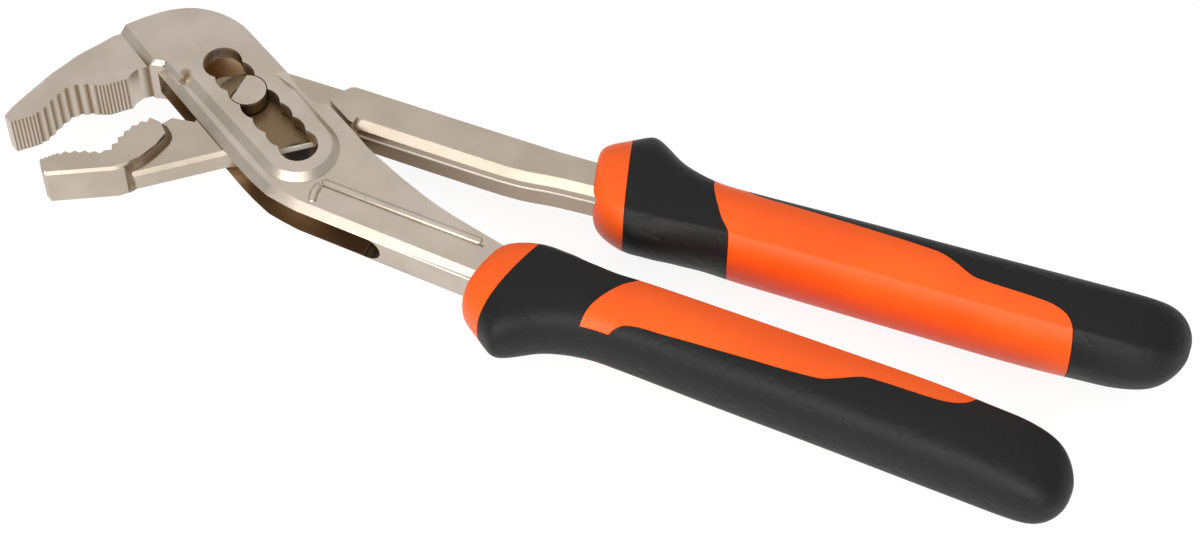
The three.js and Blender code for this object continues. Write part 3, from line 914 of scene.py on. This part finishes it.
def modelGripBlank(shape, name, inset):
    section = gripSection(shape)
    clearSelection()
    bpy.ops.mesh.primitive_circle_add(
        vertices=len(section), radius=1, fill_type="NGON", rotation=(0, math.pi / 2, 0)
    )
    blank = bpy.context.active_object
    blank.name = blank.data.name = name
    bpy.ops.object.transform_apply(location=True, rotation=True, scale=True)
    places = [v.co.copy() for v in blank.data.vertices]
    for index, place in enumerate(places):
        across, through = section[round(math.atan2(place.z, place.y) / math.tau * len(section))]
        pick(blank, "VERT", lambda v: v.index == index)
        bpy.ops.transform.translate(value=(0, across - place.y, through - place.z))
    bpy.ops.mesh.select_all(action="SELECT")
    here = [0.0, 0.0]
    half = [1.0, 1.0]
    rings = []
    rows = blend(shape["stations"], shape["ringSpacing"] / shape["length"])
    for number, (along, middle, width, thickness) in enumerate(rows):
        slant = shape["slant"] * max(0, 1 - along / shape["slantEnd"])
        v = middle * shape["width"]
        u = along * (shape["length"] - inset) + slant * (shape["width"] / 2 - v)
        wide = max(width * shape["width"] * shape["swell"] - inset, width * inset)
        high = max(thickness * shape["thickness"] * shape["swell"] - inset, thickness * inset)
        step = (u - here[0], v - here[1], 0)
        if number:
            bpy.ops.mesh.extrude_region_move(TRANSFORM_OT_translate={"value": step})
        else:
            bpy.ops.transform.translate(value=step)
        lean = math.atan(slant)
        centre = (u, v, 0)
        bpy.ops.transform.resize(
            value=(0, wide / half[0] / math.cos(lean), high / half[1]), center_override=centre
        )
        bpy.ops.transform.rotate(value=-lean, orient_axis="Z", center_override=centre)
        here = [u, v]
        half = [wide, high]
        rings.append((u, v, wide, high, slant))
    objectMode()
    return blank, rings


def gripPlan(shape, shares, along=0, across=0):
    return [(u * shape["length"] + along, v * shape["width"] + across) for u, v in shares]


def zonePrisms(shape, gap, name):
    tall = shape["thickness"]
    front = curved(gripPlan(shape, shape["bandFront"], -gap), shape["bandSpacing"])
    rear = curved(gripPlan(shape, shape["bandRear"], gap), shape["edgeSpacing"])
    band = drawPrism(front + rear[::-1], -tall, tall, name + "Band")
    edge = curved(gripPlan(shape, shape["padEdge"], -gap, -gap), shape["edgeSpacing"])
    far = shape["length"] + shape["overrun"]
    wide = shape["width"]
    pad = drawPrism(edge + [(far, -wide), (far, wide)], -tall, tall, name + "Pad")
    half = shape["bridgeHeight"] / 2 + gap
    bridge = drawPrism(gripPlan(shape, shape["bridge"]), -half, half, name + "Bridge")
    cut(band, pad, "UNION")
    cut(band, bridge, "UNION")
    discard(pad, bridge)
    return band


def creaseLine(thing, shape, rings, place, sharpness):
    # sharpens the edges along one point of the section, top and bottom, over a stretch of the length
    def onLine(v):
        x, y, z = v.co
        u, middle, wide, high, _ = min(rings, key=lambda r: abs(x + r[4] * (y - r[1]) - r[0]))
        start, end = shape["creaseReach"]
        off = (abs((y - middle) / wide - place[0]), abs(abs(z) / high - place[1]))
        return start < u < end and max(off) < shape["onLine"]

    spots = {v.index for v in thing.data.vertices if onLine(v)}
    editMode(thing, "EDGE")
    pick(thing, "EDGE", lambda e: e.vertices[0] in spots and e.vertices[1] in spots)
    bpy.ops.transform.edge_crease(value=sharpness)
    objectMode()


def capEnds(thing, shape):
    # the two flat ends are stepped in so that smoothing keeps them flat with a round edge
    for side, amounts in shape["endSteps"].items():
        direction = -1 if side == "front" else 1
        for amount in amounts:
            editMode(thing, "FACE")
            pick(thing, "FACE", lambda f: len(f.vertices) > 4 and f.normal.x * direction > 0.5)
            bpy.ops.mesh.inset(thickness=amount)
            objectMode()


def smoothBlank(shape, name, inset, levels):
    blank, rings = modelGripBlank(shape, name, inset)
    capEnds(blank, shape)
    creaseLine(blank, shape, rings, shape["creaseAt"], shape["creaseSharpness"])
    creaseLine(blank, shape, rings, shape["partingAt"], shape["partingSharpness"])
    editMode(blank)
    bpy.ops.mesh.select_all(action="SELECT")
    bpy.ops.mesh.normals_make_consistent(inside=False)
    objectMode()
    applyModifier(blank, "SUBSURF", {"levels": levels, "render_levels": levels})
    return blank


def modelGrip(shape):
    blank = smoothBlank(shape, "gripBlank", 0, 2)
    inner = smoothBlank(shape, "gripInner", shape["wall"], 1)
    innerWide = smoothBlank(shape, "gripInnerWide", shape["wall"] + shape["seam"], 1)
    zone = zonePrisms(shape, 0, "zone")
    cut(zone, inner, "DIFFERENCE")
    zoneWide = zonePrisms(shape, shape["seam"], "zoneWide")
    cut(zoneWide, innerWide, "DIFFERENCE")
    overmould = duplicate(blank, "gripOvermould")
    cut(overmould, zone, "INTERSECT")
    core = duplicate(blank, "gripCore")
    cut(core, zoneWide, "DIFFERENCE")
    for outline, half in [("tang", "tangHalf"), ("mouth", "mouthHalf")]:
        room = drawPrism(inMetres(shape[outline]), -shape[half], shape[half], outline + "Room")
        cut(core, room, "DIFFERENCE")
        discard(room)
    discard(blank, inner, innerWide, zone, zoneWide)
    for piece in (core, overmould):
        print(piece.name, "faces", len(piece.data.polygons))
    return core, overmould


def placeGrip(piece, name, turned, place, material, body, node):
    made = duplicate(piece, name)
    turn = math.radians(gripShape["turn"])
    made.rotation_euler = (math.pi, 0, -turn) if turned else (0, 0, turn)
    made.location = (*place, midPlane)
    settle(made, gripShape["smooth"])
    dress(made, material, body, node)


core, overmould = modelGrip(gripShape)
for turned, place, body, side in [
    (False, gripShape["farPlace"], "inner_lever", "inner"),
    (True, gripShape["nearPlace"], "outer_lever", "outer"),
]:
    name = side + "GripCore"
    placeGrip(core, name, turned, place, orange, body, side + "_grip_core")
    name = side + "GripOvermould"
    placeGrip(overmould, name, turned, place, black, body, side + "_grip_overmould")
discard(core, overmould)
print("grips made")

# Floor, camera and light
stageSetup = {
    "floorHeight": -3.4 * mm,
    "floorSize": 6.0,
    "floorMiddle": 0.08,
    "floorWhite": 0.9,
    "floorRoughness": 0.8,
    "floorGlow": 1.12,
    "floorGlowShare": 0.8,
    "cameraPlace": (0.22387, -0.36154, 0.52477),
    "cameraTilt": 36.0,
    "cameraTurn": 21.6,
    "lens": 93.0,
    "sensor": 36.0,
    "farthest": 20.0,
    "worldGlow": 0.62,
    # place, target, size, power and tint of each light
    "softboxes": {
        "frontBox": ((0.15, -0.9, 0.35), (0.05, 0, 0), (1.2, 0.5), 9.0, (1.0, 0.985, 0.96)),
        "topBox": ((-0.1, 0.3, 1.7), (0.05, 0, 0), (2.4, 2.2), 7.0, (1.0, 0.99, 0.98)),
    },
}


def makeFloor(setup):
    clearSelection()
    spot = (setup["floorMiddle"], 0, setup["floorHeight"])
    bpy.ops.mesh.primitive_plane_add(size=setup["floorSize"], location=spot)
    floor = bpy.context.active_object
    floor.name = "paperFloor"
    bpy.ops.object.transform_apply(location=True, rotation=True, scale=True)
    made, tree, shader, place = newMaterial("paperWhite")
    white = setup["floorWhite"]
    feed(tree, shader, "Base Color", (white, white, white, 1.0))
    feed(tree, shader, "Roughness", setup["floorRoughness"])
    # seen directly or in the steel, the paper glows an even white
    rays = place.node("ShaderNodeLightPath", {}, {}).socket.node.outputs
    seen = Wire(tree, rays["Is Camera Ray"])
    for ray in ("Is Glossy Ray", "Is Transmission Ray"):
        seen = seen.atLeast(Wire(tree, rays[ray]))
    glow = place.node(
        "ShaderNodeEmission", {}, {"Color": (1, 1, 1, 1), "Strength": setup["floorGlow"]}
    )
    share = seen * setup["floorGlowShare"]
    mixer = place.node(
        "ShaderNodeMixShader", {}, {0: share, 1: Wire(tree, shader.outputs[0]), 2: glow}
    )
    tree.links.new(mixer.socket, tree.nodes["Material Output"].inputs["Surface"])
    floor.data.materials.append(made)


def addSoftbox(name, place, target, size, power, tint):
    lamp = bpy.data.lights.new(name, "AREA")
    lamp.shape = "RECTANGLE"
    lamp.size, lamp.size_y = size
    lamp.energy = power
    lamp.color = tint
    holder = bpy.data.objects.new(name, lamp)
    scene.collection.objects.link(holder)
    holder.location = place
    holder.rotation_euler = (Vector(target) - Vector(place)).to_track_quat("-Z", "Y").to_euler()


def lightWorld(setup):
    world = bpy.data.worlds.new("studio")
    scene.world = world
    world.use_nodes = True
    backdrop = world.node_tree.nodes["Background"]
    glow = setup["worldGlow"]
    backdrop.inputs["Color"].default_value = (glow, glow, glow, 1.0)
    backdrop.inputs["Strength"].default_value = 1.0


def addCamera(setup):
    camera = bpy.data.cameras.new("camera")
    camera.lens = setup["lens"]
    camera.sensor_width = setup["sensor"]
    camera.clip_end = setup["farthest"]
    holder = bpy.data.objects.new("camera", camera)
    scene.collection.objects.link(holder)
    holder.location = setup["cameraPlace"]
    holder.rotation_euler = (math.radians(setup["cameraTilt"]), 0, math.radians(setup["cameraTurn"]))
    return holder


makeFloor(stageSetup)
lightWorld(stageSetup)
for name, softbox in stageSetup["softboxes"].items():
    addSoftbox(name, *softbox)
scene.camera = addCamera(stageSetup)
scene.view_settings.view_transform = "Standard"
print("floor, lights and camera made")

print("scene ready")
